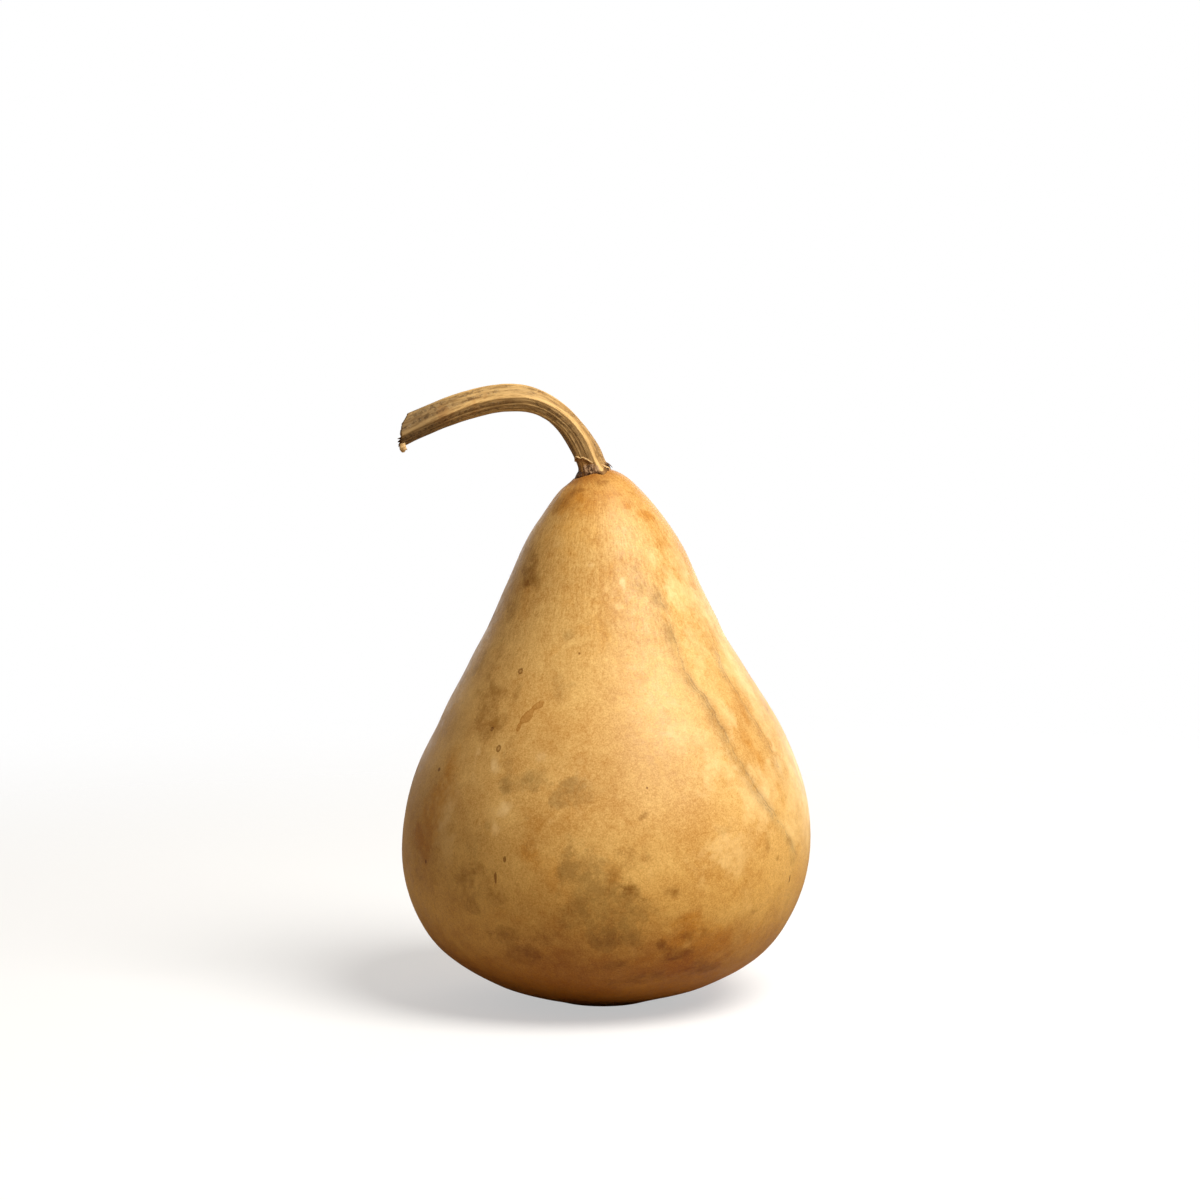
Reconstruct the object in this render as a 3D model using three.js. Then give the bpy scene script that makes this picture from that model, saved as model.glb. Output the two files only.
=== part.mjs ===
// A dried bottle gourd: a hard, pear-shaped fruit standing on its flattened blossom end, with the
// curved, ridged stem it hung by. Millimetres, +Z up. The origin is on the ground, in the middle of
// the gourd's outline, and the stem arches over towards -X.
import * as THREE from 'three';

const { smoothstep, degToRad } = THREE.MathUtils;

// --- Driving dimensions of the fruit ---------------------------------------------------------
const BODY_HEIGHT = 186; // ground to the seat of the stem
const BELLY_RADIUS = 72; // at the widest place
const FOOT_RADIUS = 17; // the flat it stands on
const SEAT_RADIUS = 6; // the small flat that the stem grows from
const SEAT_TILT = degToRad(17); // the seat faces up and towards -X
const SEAT_SHIFT = 3.2; // how far the seat sits off the neck's axis, towards -X
const DOME_RADIUS = 16; // where the rounded top starts to lean towards the seat
const NECK_LEAN = 1.2; // how far the neck leans towards -X at its top
const SWAY = 0.9; // how far the axis wanders from straight, towards +X at half height
const OVAL = 0.009; // share by which the fruit is wider one way than the other
const LOBES = 0.004; // share by which its three soft lobes stand out

const BODY_SIDES = 60;
const BODY_RINGS = 32;

// Half of the fruit's outline, from the edge of its foot to the edge of its seat, as shares of
// BELLY_RADIUS and BODY_HEIGHT.
const OUTLINE = [
  [FOOT_RADIUS / BELLY_RADIUS, 0],
  [0.56, 0.041],
  [0.83, 0.113],
  [0.975, 0.228],
  [0.984, 0.36],
  [0.868, 0.5],
  [0.648, 0.65],
  [0.459, 0.796],
  [0.314, 0.91],
  [0.172, 0.978],
  [SEAT_RADIUS / BELLY_RADIUS, 1],
];

// --- Driving dimensions of the stem ----------------------------------------------------------
const SEAT_GAP = 0.3; // clearance between the stem's foot and its seat
const STEM_TIP = new THREE.Vector3(-71.2, -1, 200.9); // middle of the cut end
const STEM_RISE = 33; // pull of the curve straight out of the seat
const STEM_REACH = 42; // pull of the curve back from the tip
const TIP_DROOP = degToRad(25); // the tip points this far below level
const STEM_BOW = 3; // how far the arch strays sideways
const STEM_RADIUS = 4.1; // at its thinnest
const STEM_FOOT_FLARE = 1.1; // added where it spreads onto the fruit
const STEM_LOW_SWELL = 0.45; // added just above the foot
const STEM_TIP_SWELL = 0.9; // added over the outer half
const CUT_SLANT = Math.tan(degToRad(38)); // the tip is cut on the slant, longest below
const STEM_TWIST = degToRad(40); // turn of the ridges from foot to tip
const RIDGE_HEIGHT = 0.07; // five main ridges, as a share of the radius
const RIB_HEIGHT = 0.03; // five lesser ribs between them

const STEM_SIDES = 30;
const STEM_STEPS = 38;

// The sideways place of the fruit's axis at a share of its height.
function axisLean(rise) {
  return SWAY * Math.sin(2 * Math.PI * (rise - 0.25)) - NECK_LEAN * rise ** 3;
}

// The fruit's outline turned about +Z, which is then pushed out of round: a slightly oval section,
// three soft lobes, a leaning neck and a seat that is shifted and tilted.
function makeBody() {
  const spline = new THREE.CatmullRomCurve3(
    OUTLINE.map(([r, z]) => new THREE.Vector3(r * BELLY_RADIUS, z * BODY_HEIGHT, 0)),
    false,
    'centripetal',
  );
  const profile = [
    new THREE.Vector2(0, 0),
    ...spline.getSpacedPoints(BODY_RINGS).map((p) => new THREE.Vector2(p.x, p.y)),
    new THREE.Vector2(0, BODY_HEIGHT),
  ];
  const geometry = new THREE.LatheGeometry(profile, BODY_SIDES).rotateX(Math.PI / 2);

  const vertices = geometry.attributes.position;
  for (let i = 0; i < vertices.count; i++) {
    const radius = Math.hypot(vertices.getX(i), vertices.getY(i));
    const angle = Math.atan2(vertices.getY(i), vertices.getX(i));
    const height = vertices.getZ(i);
    const rise = height / BODY_HEIGHT;
    const top = height > BODY_HEIGHT / 2 ? 1 - smoothstep(radius, SEAT_RADIUS, DOME_RADIUS) : 0;
    const swell = 1 + OVAL * Math.cos(2 * angle + 0.6) + LOBES * Math.cos(3 * angle - 0.8);
    const across = radius * swell * Math.cos(angle);
    vertices.setXYZ(
      i,
      across + axisLean(rise) - SEAT_SHIFT * top,
      radius * swell * Math.sin(angle),
      height + across * Math.tan(SEAT_TILT) * top,
    );
  }
  return geometry;
}

// The stem's section, with its five ridges and the ribs between them, at a radius of 1.
function stemSection() {
  const points = [];
  for (let i = 0; i < STEM_SIDES; i++) {
    const angle = (2 * Math.PI * i) / STEM_SIDES;
    const radius = 1 + RIDGE_HEIGHT * Math.cos(5 * angle) + RIB_HEIGHT * Math.cos(10 * angle);
    points.push(new THREE.Vector2(radius * Math.cos(angle), radius * Math.sin(angle)));
  }
  return new THREE.Shape(points);
}

// The stem's radius at a share of its length: a flared foot, a thin crook and a stouter outer half.
function stemRadius(share) {
  return (
    STEM_RADIUS +
    STEM_FOOT_FLARE * Math.exp(-((share / 0.03) ** 2)) +
    STEM_LOW_SWELL * (1 - smoothstep(share, 0.05, 0.28)) +
    STEM_TIP_SWELL * smoothstep(share, 0.28, 0.55)
  );
}

// A straight, ridged bar one unit long, carried along the stem's curve. Inwards is the side of the
// section that faces the hollow of the arch.
function makeStem() {
  const upOutOfSeat = new THREE.Vector3(-Math.sin(SEAT_TILT), 0, Math.cos(SEAT_TILT));
  const backFromTip = new THREE.Vector3(Math.cos(TIP_DROOP), 0, Math.sin(TIP_DROOP));
  const foot = new THREE.Vector3(axisLean(1) - SEAT_SHIFT, 0, BODY_HEIGHT);
  foot.addScaledVector(upOutOfSeat, SEAT_GAP);
  const path = new THREE.CubicBezierCurve3(
    foot,
    foot.clone().addScaledVector(upOutOfSeat, STEM_RISE),
    STEM_TIP.clone().addScaledVector(backFromTip, STEM_REACH).setY(STEM_BOW),
    STEM_TIP,
  );
  const geometry = new THREE.ExtrudeGeometry(stemSection(), {
    depth: 1,
    steps: STEM_STEPS,
    bevelEnabled: false,
  });

  const vertices = geometry.attributes.position;
  const point = new THREE.Vector3();
  for (let i = 0; i < vertices.count; i++) {
    const share = THREE.MathUtils.clamp(vertices.getZ(i), 0, 1);
    const angle = Math.atan2(vertices.getY(i), vertices.getX(i)) + STEM_TWIST * share;
    const radius = Math.hypot(vertices.getX(i), vertices.getY(i)) * stemRadius(share);
    const along = path.getTangentAt(share);
    const sideways = new THREE.Vector3(0, 1, 0).addScaledVector(along, -along.y).normalize();
    const inwards = new THREE.Vector3().crossVectors(along, sideways);
    const depth = radius * Math.sin(angle);
    point.copy(path.getPointAt(share));
    point.addScaledVector(sideways, radius * Math.cos(angle));
    point.addScaledVector(inwards, depth);
    point.addScaledVector(along, depth * CUT_SLANT * smoothstep(share, 0.8, 1));
    vertices.setXYZ(i, point.x, point.y, point.z);
  }
  return geometry;
}

const skin = new THREE.MeshStandardMaterial({ color: 0xcf9a52, roughness: 0.45, metalness: 0 });
const dryStem = new THREE.MeshStandardMaterial({ color: 0x9c7440, roughness: 0.85, metalness: 0 });

const body = new THREE.Mesh(makeBody(), skin);
body.name = 'gourd_body';
const stem = new THREE.Mesh(makeStem(), dryStem);
stem.name = 'stem';

const gourd = new THREE.Group();
gourd.add(body, stem);

// The origin goes under the middle of the whole outline, on the ground.
const outline = new THREE.Box3().setFromObject(gourd);
const middle = outline.getCenter(new THREE.Vector3());
gourd.position.set(-middle.x, -middle.y, -outline.min.z);

export default gourd;
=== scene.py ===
# %% [markdown]
# # A dried bottle gourd
#
# A bottle gourd is a fruit with a hard, thin, woody shell. Dried, it is light and golden brown, with the
# stains that mould and sun left on it, and it keeps the curved, ridged stem it hung by. This lesson builds
# it as two surfaces, the shell and the stem, each worked out with numpy as a grid of points, and then gives
# them their loose flakes and fibres and their finishes.
#
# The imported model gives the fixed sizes. Its box is kept here, before anything is added to it.

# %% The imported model
import math

import bpy
import numpy as np
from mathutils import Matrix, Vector


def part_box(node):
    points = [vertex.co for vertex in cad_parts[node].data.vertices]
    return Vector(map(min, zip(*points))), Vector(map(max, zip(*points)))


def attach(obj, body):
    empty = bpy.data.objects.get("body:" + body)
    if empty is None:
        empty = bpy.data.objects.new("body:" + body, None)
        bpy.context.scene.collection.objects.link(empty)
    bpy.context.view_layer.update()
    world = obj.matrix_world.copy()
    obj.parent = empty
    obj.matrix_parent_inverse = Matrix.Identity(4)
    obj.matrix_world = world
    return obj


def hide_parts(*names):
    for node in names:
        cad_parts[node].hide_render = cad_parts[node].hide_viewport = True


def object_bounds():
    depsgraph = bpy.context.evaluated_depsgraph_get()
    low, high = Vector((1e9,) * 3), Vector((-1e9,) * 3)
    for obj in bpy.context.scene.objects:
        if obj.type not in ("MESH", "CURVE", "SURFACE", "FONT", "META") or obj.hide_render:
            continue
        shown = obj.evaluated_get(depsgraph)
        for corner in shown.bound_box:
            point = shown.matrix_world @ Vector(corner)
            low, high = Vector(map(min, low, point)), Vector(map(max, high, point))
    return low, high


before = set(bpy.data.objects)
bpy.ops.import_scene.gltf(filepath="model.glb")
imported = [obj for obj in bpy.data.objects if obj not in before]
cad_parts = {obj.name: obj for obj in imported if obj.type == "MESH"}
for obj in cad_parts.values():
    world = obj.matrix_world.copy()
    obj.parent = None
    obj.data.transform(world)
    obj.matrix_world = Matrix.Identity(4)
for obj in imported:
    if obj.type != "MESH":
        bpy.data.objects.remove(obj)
cad_low, cad_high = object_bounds()
body_low, body_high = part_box("gourd_body")
TALL = cad_high.z - cad_low.z
MM = 0.001
print("whole gourd, mm:", [round(side / MM, 1) for side in cad_high - cad_low])

# %% [markdown]
# ## The camera
#
# The gourd stands at about the height of the eye, so the camera looks down on it by only a few degrees. A
# long lens from well back keeps the pear shape free of the bulge that a near camera would give it. The
# picture is about twice as wide as the gourd is tall, with the gourd a little below its middle.

# %% Camera
CAMERA_HEIGHT_ANGLE = math.radians(6)
CAMERA_DISTANCE = 6 * TALL
PICTURE_WIDTH = 1.938 * TALL
AIM = Vector((-0.008 * TALL, 0, 0.651 * TALL))

camera = bpy.data.objects.new("camera", bpy.data.cameras.new("camera"))
camera.data.sensor_width = 36
camera.data.lens = camera.data.sensor_width * CAMERA_DISTANCE / PICTURE_WIDTH
towards_camera = Vector((0, -math.cos(CAMERA_HEIGHT_ANGLE), math.sin(CAMERA_HEIGHT_ANGLE)))
camera.location = AIM + CAMERA_DISTANCE * towards_camera
camera.rotation_euler = (-towards_camera).to_track_quat("-Z", "Y").to_euler()
bpy.context.scene.collection.objects.link(camera)
bpy.context.scene.camera = camera
bpy.context.scene.view_settings.view_transform = "Standard"
print("lens, mm:", round(camera.data.lens))

# %% [markdown]
# ## Node trees written as sums
#
# A finish in Blender is a tree of nodes, and most of its nodes are plain arithmetic. The class below wraps
# one socket, so that `1 - mask` or `grain * 0.3` adds the Math node it needs, and a recipe reads like a
# formula. Every other kind of node comes from its one method `node`.

# %% Sockets that calculate
class Wire:
    """A socket of a node tree. Arithmetic on it adds Math nodes, and node() adds any other node."""

    def __init__(self, tree, socket=None):
        self.tree = tree
        self.socket = socket

    def node(self, kind, settings=None, inputs=None, output=0):
        """Adds a node: its settings first, then each input's value or wire. Gives one output's wire."""
        made = self.tree.nodes.new("ShaderNode" + kind)
        for name, value in (settings or {}).items():
            setattr(made, name, value)
        for name, value in (inputs or {}).items():
            if isinstance(value, Wire):
                self.tree.links.new(value.socket, made.inputs[name])
            else:
                made.inputs[name].default_value = value
        return Wire(self.tree, made.outputs[output])

    def math(self, operation, *values):
        return self.node("Math", {"operation": operation}, dict(enumerate(values)))

    def __add__(self, other):
        return self.math("ADD", self, other)

    def __sub__(self, other):
        return self.math("SUBTRACT", self, other)

    def __rsub__(self, other):
        return self.math("SUBTRACT", other, self)

    def __mul__(self, other):
        return self.math("MULTIPLY", self, other)

    def __truediv__(self, other):
        return self.math("DIVIDE", self, other)

    def __abs__(self):
        return self.math("ABSOLUTE", self)

    __radd__ = __add__

    def ramp(self, low, high):
        """0 below low, 1 above high, and a smooth rise between them; low may be the larger one."""
        inputs = {"Value": self, "From Min": low, "From Max": high}
        return self.node("MapRange", {"interpolation_type": "SMOOTHSTEP"}, inputs)

    def tint(self, before, after, how="MIX"):
        """The colour before where this wire is 0, turning to after where it is 1."""
        inputs = {0: self, 6: before, 7: after}
        return self.node("Mix", {"data_type": "RGBA", "blend_type": how}, inputs, output=2)


def colour(red, green, blue):
    """A colour as a screen shows it, 0 to 255, turned into the linear light that sockets hold."""
    share = np.array([red, green, blue]) / 255
    linear = np.where(share < 0.04045, share / 12.92, ((share + 0.055) / 1.055) ** 2.4)
    return (*linear.tolist(), 1)


print("a mid tan as linear light:", [round(part, 3) for part in colour(190, 140, 80)])

# %% [markdown]
# ## Studio light
#
# The gourd is lit as for a catalogue: a big soft lamp high on the right, a second behind on the right that
# draws a bright line down that edge, and a weak one behind on the left. The room around it is white where
# the camera looks at it but gives off less light than that, or the dark side of the fruit would be washed
# out. The room shines mostly from behind, so that the shell's gloss picks it up along both edges.

# %% Lights
ROOM_FRONT = 0.13
ROOM_BACK = 0.40
ROOM_TINT = (1, 0.82, 0.62, 1)

world = bpy.data.worlds.new("white_room")
world.use_nodes = True
world.node_tree.nodes.clear()
room = Wire(world.node_tree)
heading = room.node("TexCoord", output=0)
depth = room.node("SeparateXYZ", inputs={0: heading}, output=1)
shine = depth.ramp(-0.3, 1.0) * (ROOM_BACK - ROOM_FRONT) + ROOM_FRONT
seen = room.node("LightPath")
strength = shine * (1 - seen) + seen
light = room.node("Background", inputs={"Color": seen.tint(ROOM_TINT, (1, 1, 1, 1)), "Strength": strength})
output = world.node_tree.nodes.new("ShaderNodeOutputWorld")
world.node_tree.links.new(light.socket, output.inputs["Surface"])
bpy.context.scene.world = world


def softbox(name, turn, rise, distance, width, power, tint=(1, 1, 1)):
    """A round soft lamp aimed at the gourd's middle. turn is degrees round from the camera's side,
    towards +X, rise is degrees above the floor, and distance is in heights of the gourd."""
    turn, rise = math.radians(turn), math.radians(rise)
    aside = Vector((math.sin(turn) * math.cos(rise), -math.cos(turn) * math.cos(rise), math.sin(rise)))
    lamp = bpy.data.lights.new(name, "AREA")
    lamp.shape = "DISK"
    lamp.size = width * TALL
    lamp.energy = power
    lamp.color = tint
    holder = bpy.data.objects.new(name, lamp)
    holder.location = Vector((0, 0, TALL / 2)) + aside * distance * TALL
    holder.rotation_euler = (-aside).to_track_quat("-Z", "Y").to_euler()
    bpy.context.scene.collection.objects.link(holder)
    return holder


key = softbox("key_lamp", turn=47, rise=50, distance=6, width=4, power=27, tint=(1, 0.98, 0.93))
rim = softbox("rim_lamp", turn=160, rise=10, distance=5, width=4, power=4)
kick = softbox("kick_lamp", turn=-158, rise=8, distance=5, width=2, power=0.9)
print("lamps:", [lamp.name for lamp in (key, rim, kick)])

# %% [markdown]
# ## Points into meshes
#
# Both surfaces are tubes: rings of points, one after another, closed to a point at each end. The volume
# that the mesh encloses comes out above zero only when its faces point outwards, so it is worth printing.

# %% A closed mesh from rings of points
def smooth_step(value, low, high):
    """0 below low, 1 above high, and 3t^2 - 2t^3 between them."""
    share = np.clip((value - low) / (high - low), 0, 1)
    return share * share * (3 - 2 * share)


def bell(value, width):
    """A soft bump: exp(-(value / width)^2)."""
    return np.exp(-((value / width) ** 2))


def with_ends(rings):
    """The rings' points or values in one list, and after them the mean of the first ring and of the
    last."""
    grid = rings.reshape(rings.shape[0], rings.shape[1], -1)
    return np.vstack([grid.reshape(-1, grid.shape[2]), grid[0].mean(0), grid[-1].mean(0)])


def closed_mesh(name, parts, values=None):
    """One mesh of closed tubes. Each part is rings of points, shape (rings, columns, 3), and gets
    four-sided faces between its rings and a fan at each end. values holds, by name, arrays over the same
    grids for the finish."""
    points = np.vstack([with_ends(rings) for rings in parts])
    faces, corners, first = [], [], 0
    for rings in parts:
        count, columns = rings.shape[:2]
        here = first + np.arange(count * columns).reshape(count, columns)
        beside = np.roll(here, -1, axis=1)
        sides = np.stack([here[:-1], beside[:-1], beside[1:], here[1:]], axis=-1).reshape(-1, 4)
        start = np.stack([beside[0], here[0], np.full(columns, first + count * columns)], axis=-1)
        end = np.stack([here[-1], beside[-1], np.full(columns, first + count * columns + 1)], axis=-1)
        faces += sides.tolist() + start.tolist() + end.tolist()
        corners += [sides[:, [0, 1, 2]], sides[:, [0, 2, 3]], start, end]
        first += count * columns + 2
    mesh = bpy.data.meshes.new(name)
    mesh.from_pydata(points, [], faces)
    for label, grids in (values or {}).items():
        kind, field = ("FLOAT_VECTOR", "vector") if grids[0].ndim == 3 else ("FLOAT", "value")
        column = mesh.attributes.new(label, kind, "POINT")
        numbers = np.vstack([with_ends(grid) for grid in grids])
        column.data.foreach_set(field, numbers.astype(np.float32).ravel())
    mesh.shade_smooth()
    piece = bpy.data.objects.new(name, mesh)
    bpy.context.scene.collection.objects.link(piece)
    corners = np.vstack(corners)
    a, b, c = (points[corners[:, i]] for i in range(3))
    volume = np.einsum("ij,ij->i", a, np.cross(b, c)).sum() / 6
    print(name, "encloses", round(volume / MM**3 / 1000, 3), "cubic cm in", len(corners), "triangles")
    return piece


def waves(points, length, seed, count=28):
    """Smooth random relief of about -1 to 1: the sum of sine waves of one wavelength, each with a heading
    and a phase drawn at random, over the square root of half their number."""
    draw = np.random.default_rng(seed)
    heading = draw.normal(size=(count, 3))
    heading /= np.linalg.norm(heading, axis=1, keepdims=True)
    phase = draw.uniform(0, 2 * np.pi, count)
    along = points @ heading.T * (2 * np.pi / length) + phase
    return np.sin(along).sum(axis=-1) / math.sqrt(2 * count)


# %% [markdown]
# ## The shell's outline
#
# Cut the gourd in half from stem to base and its edge is a pear's: a flat to stand on, a full belly low
# down, and flanks that run in almost straight to a small rounded top. Eleven points say all of that. A
# Catmull-Rom curve joins them, because it passes through each one and needs no handles.

# %% Outline
BODY_TALL = 186 * MM
BELLY = 72 * MM
FOOT_RADIUS = 17 * MM
SEAT_RADIUS = 6 * MM
OUTLINE = [
    [FOOT_RADIUS / BELLY, 0],
    [0.56, 0.041],
    [0.83, 0.113],
    [0.975, 0.228],
    [0.984, 0.36],
    [0.868, 0.5],
    [0.648, 0.65],
    [0.459, 0.796],
    [0.314, 0.91],
    [0.172, 0.978],
    [SEAT_RADIUS / BELLY, 1],
]


def curve_through(points, count):
    """count points, evenly spaced, on the centripetal Catmull-Rom curve through points: each stretch is a
    cubic that leaves and arrives along the mean direction of its neighbours, weighted by the root of
    their distance."""
    p = np.asarray(points, float)
    p = np.vstack([2 * p[0] - p[1], p, 2 * p[-1] - p[-2]])
    step = np.sqrt(np.linalg.norm(np.diff(p, axis=0), axis=1))[:, None]
    before, here, after = step[:-2], step[1:-1], step[2:]
    a, b, c, d = p[:-3], p[1:-2], p[2:-1], p[3:]
    leave = here * ((b - a) / before - (c - a) / (before + here) + (c - b) / here)
    arrive = here * ((c - b) / here - (d - b) / (here + after) + (d - c) / after)
    t = np.linspace(0, 1, 60, endpoint=False)[:, None, None]
    fine = (2 * t**3 - 3 * t**2 + 1) * b + (t**3 - 2 * t**2 + t) * leave
    fine = fine + (3 * t**2 - 2 * t**3) * c + (t**3 - t**2) * arrive
    fine = np.vstack([fine.transpose(1, 0, 2).reshape(-1, p.shape[1]), p[-2]])
    travelled = np.concatenate([[0], np.cumsum(np.linalg.norm(np.diff(fine, axis=0), axis=1))])
    wanted = np.linspace(0, travelled[-1], count)
    return np.stack([np.interp(wanted, travelled, column) for column in fine.T], axis=-1)


flank = curve_through(np.array(OUTLINE) * [BELLY, BODY_TALL], 214)
print("outline: widest radius", round(flank[:, 0].max() / MM, 1), "mm")

# %% [markdown]
# ## From outline to fruit
#
# Turning the outline about an upright axis would give a perfect pear, and no gourd is one. So the axis
# wanders a little, the plan is slightly oval with three soft lobes, and the small flat that bears the stem,
# its seat, is pushed aside and tilted the way the stem leans. The seat's tilt only reaches the rounded top,
# so the flanks stay as they are.

# %% Shell surface
COLUMNS = 400
FOOT_RINGS = 14
SEAT_RINGS = 4
SEAT_TILT = math.radians(17)
SEAT_SHIFT = 3.2 * MM
DOME_RADIUS = 16 * MM
NECK_LEAN = 1.2 * MM
SWAY = 0.9 * MM
OVAL = 0.009
LOBES = 0.004

foot = np.stack([np.linspace(0.04, 1, FOOT_RINGS, endpoint=False) * FOOT_RADIUS, np.zeros(FOOT_RINGS)], -1)
seat = np.stack([np.linspace(1, 0.1, SEAT_RINGS + 1)[1:] * SEAT_RADIUS, np.full(SEAT_RINGS, BODY_TALL)], -1)
profile = np.vstack([foot, flank, seat])
turn = np.linspace(0, 2 * np.pi, COLUMNS, endpoint=False)[None, :]
radius, height = profile[:, :1], profile[:, 1:]


def axis_lean(rise):
    """How far the axis stands towards +X at a share of the height: a slow sway, less the lean of the
    neck."""
    return SWAY * np.sin(2 * np.pi * (rise - 0.25)) - NECK_LEAN * rise**3


top = np.where(height > BODY_TALL / 2, 1 - smooth_step(radius, SEAT_RADIUS, DOME_RADIUS), 0)
swell = 1 + OVAL * np.cos(2 * turn + 0.6) + LOBES * np.cos(3 * turn - 0.8)
across = radius * swell * np.cos(turn)
shell = np.stack([
    across + axis_lean(height / BODY_TALL) - SEAT_SHIFT * top,
    radius * swell * np.sin(turn),
    height + across * math.tan(SEAT_TILT) * top,
], axis=-1)
made_middle = (shell.min((0, 1)) + shell.max((0, 1))) / 2
to_frame = (np.array(body_low + body_high) / 2 - made_middle) * [1, 1, 0]
shell += to_frame
print("shell: sides, mm", (np.ptp(shell, axis=(0, 1)) / MM).round(1), "moved by", (to_frame / MM).round(2))

# %% [markdown]
# ## Relief
#
# A dried shell isn't smooth: it has broad swellings and hollows, three crinkled creases down its right
# flank where veins ran, shallow furrows that gather towards the stem, and at the base the little corky scar
# that the flower left. These are small, so each is a height added along the surface's own normal. Each
# crease's route is a short list of places given as degrees round from the front and millimetres up, and the
# five swellings that set how the left and the right flank differ are placed in the same way.

# %% Veins, furrows and the blossom scar
VEINS = {
    "main_vein": [[34, 150], [35, 138], [36, 131], [35, 123], [38, 116], [42, 110], [43, 102], [45, 95],
                  [48, 86], [51, 79], [56, 71], [61, 64], [65, 58], [69, 52]],
    "second_vein": [[64, 133], [62, 125], [59, 118], [61, 111], [62, 105], [63.5, 98], [64.5, 91],
                    [66, 80]],
    "third_vein": [[81, 112], [80, 100], [79, 90], [80, 81], [82, 70]],
}
VEIN_ENDS = 8 * MM
SWELLINGS = [
    # degrees round from the front, mm up, mm tall, and how far out in mm
    [-90, 172, 9.5, -1.05],
    [-90, 121.5, 7, 0.37],
    [-90, 96.5, 8.5, -0.9],
    [90, 157.5, 9.5, 0.95],
    [90, 128.5, 5.5, -0.6],
]
SWELLING_WIDTH = 62

bearing = np.degrees(np.arctan2(shell[..., 0], -shell[..., 1]))
girth = np.hypot(shell[..., 0], shell[..., 1])
level = shell[..., 2]


def beside(route):
    """How far each point lies to the right of a route, in metres: the turn between them times the radius
    there. With it goes the route's reach: 1 along the route, and smoothly 0 beyond its ends."""
    turns, rises = np.array(route)[::-1].T
    wobble = 0.5 * np.sin(level / MM * 1.1) + 0.4 * np.sin(level / MM * 0.47 + 1)
    turned = bearing - np.interp(level / MM, rises, turns)
    aside = np.radians((turned + 180) % 360 - 180) * girth + wobble * MM * 0.5
    reach = smooth_step(level, rises[0] * MM, rises[0] * MM + VEIN_ENDS)
    reach = reach * (1 - smooth_step(level, rises[-1] * MM - VEIN_ENDS, rises[-1] * MM))
    return aside, reach


def outward(rings):
    """Unit normals of a grid of rings: the cross product of the step round it and the step along it."""
    around = np.roll(rings, -1, axis=1) - np.roll(rings, 1, axis=1)
    along = np.gradient(rings, axis=0)
    normal = np.cross(around, along)
    return normal / np.maximum(np.linalg.norm(normal, axis=-1, keepdims=True), 1e-12)


vein = {name: beside(route) for name, route in VEINS.items()}
relief = 0.22 * waves(shell, 62 * MM, seed=3) + 0.07 * waves(shell, 21 * MM, seed=4)
relief += 0.022 * waves(shell, 8 * MM, seed=5)
for turned, rise, tall, out in SWELLINGS:
    round_by = (bearing - turned + 180) % 360 - 180
    relief += out * bell(round_by, SWELLING_WIDTH) * bell(level - rise * MM, tall * MM)
pimpled = bell((bearing - 3) / 20, 1) * bell(level - 145 * MM, 20 * MM)
relief += 0.045 * pimpled * np.maximum(waves(shell * [1, 1, 0.6], 3.2 * MM, seed=7), -0.5)
for name, deep in [("main_vein", 0.11), ("second_vein", 0.11), ("third_vein", 0.1)]:
    aside, reach = vein[name]
    uneven = 0.6 + 0.4 * waves(shell, 9 * MM, seed=6)
    relief -= reach * deep * uneven * (bell(aside, 1.0 * MM) - 0.6 * bell(aside + 2.6 * MM, 1.5 * MM))
gathered = smooth_step(level, 168 * MM, 182 * MM) * smooth_step(radius, 6 * MM, 9 * MM)
furrows = np.sin(9 * turn + 1.5 * np.sin(2 * turn)) * 0.6 + np.sin(23 * turn + 2) * 0.25
relief += 0.1 * gathered * furrows
scar_rings = np.cos(radius / MM * 2.4 + 0.5 * np.sin(5 * turn))
at_foot = np.where(level < 5 * MM, 1 - smooth_step(radius, 4 * MM, 7.5 * MM), 0)
relief += at_foot * (-0.9 + 0.15 * scar_rings)
standing = smooth_step(level, 0, 4 * MM)
relief = np.where(relief > 0, relief * standing, relief * np.maximum(standing, at_foot))
shell = shell + outward(shell) * (relief * MM)[..., None]
body_middle, body_room = np.array(body_low + body_high) / 2, np.array(body_high - body_low) / 2
fits = np.minimum(1, body_room / np.abs(shell - body_middle).max((0, 1))) * [1, 1, 0] + [0, 0, 1]
shell = body_middle + (shell - body_middle) * fits
print("relief, mm: from", relief.min().round(2), "to", relief.max().round(2))
print("lowest z, m:", shell[..., 2].min())
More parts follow.
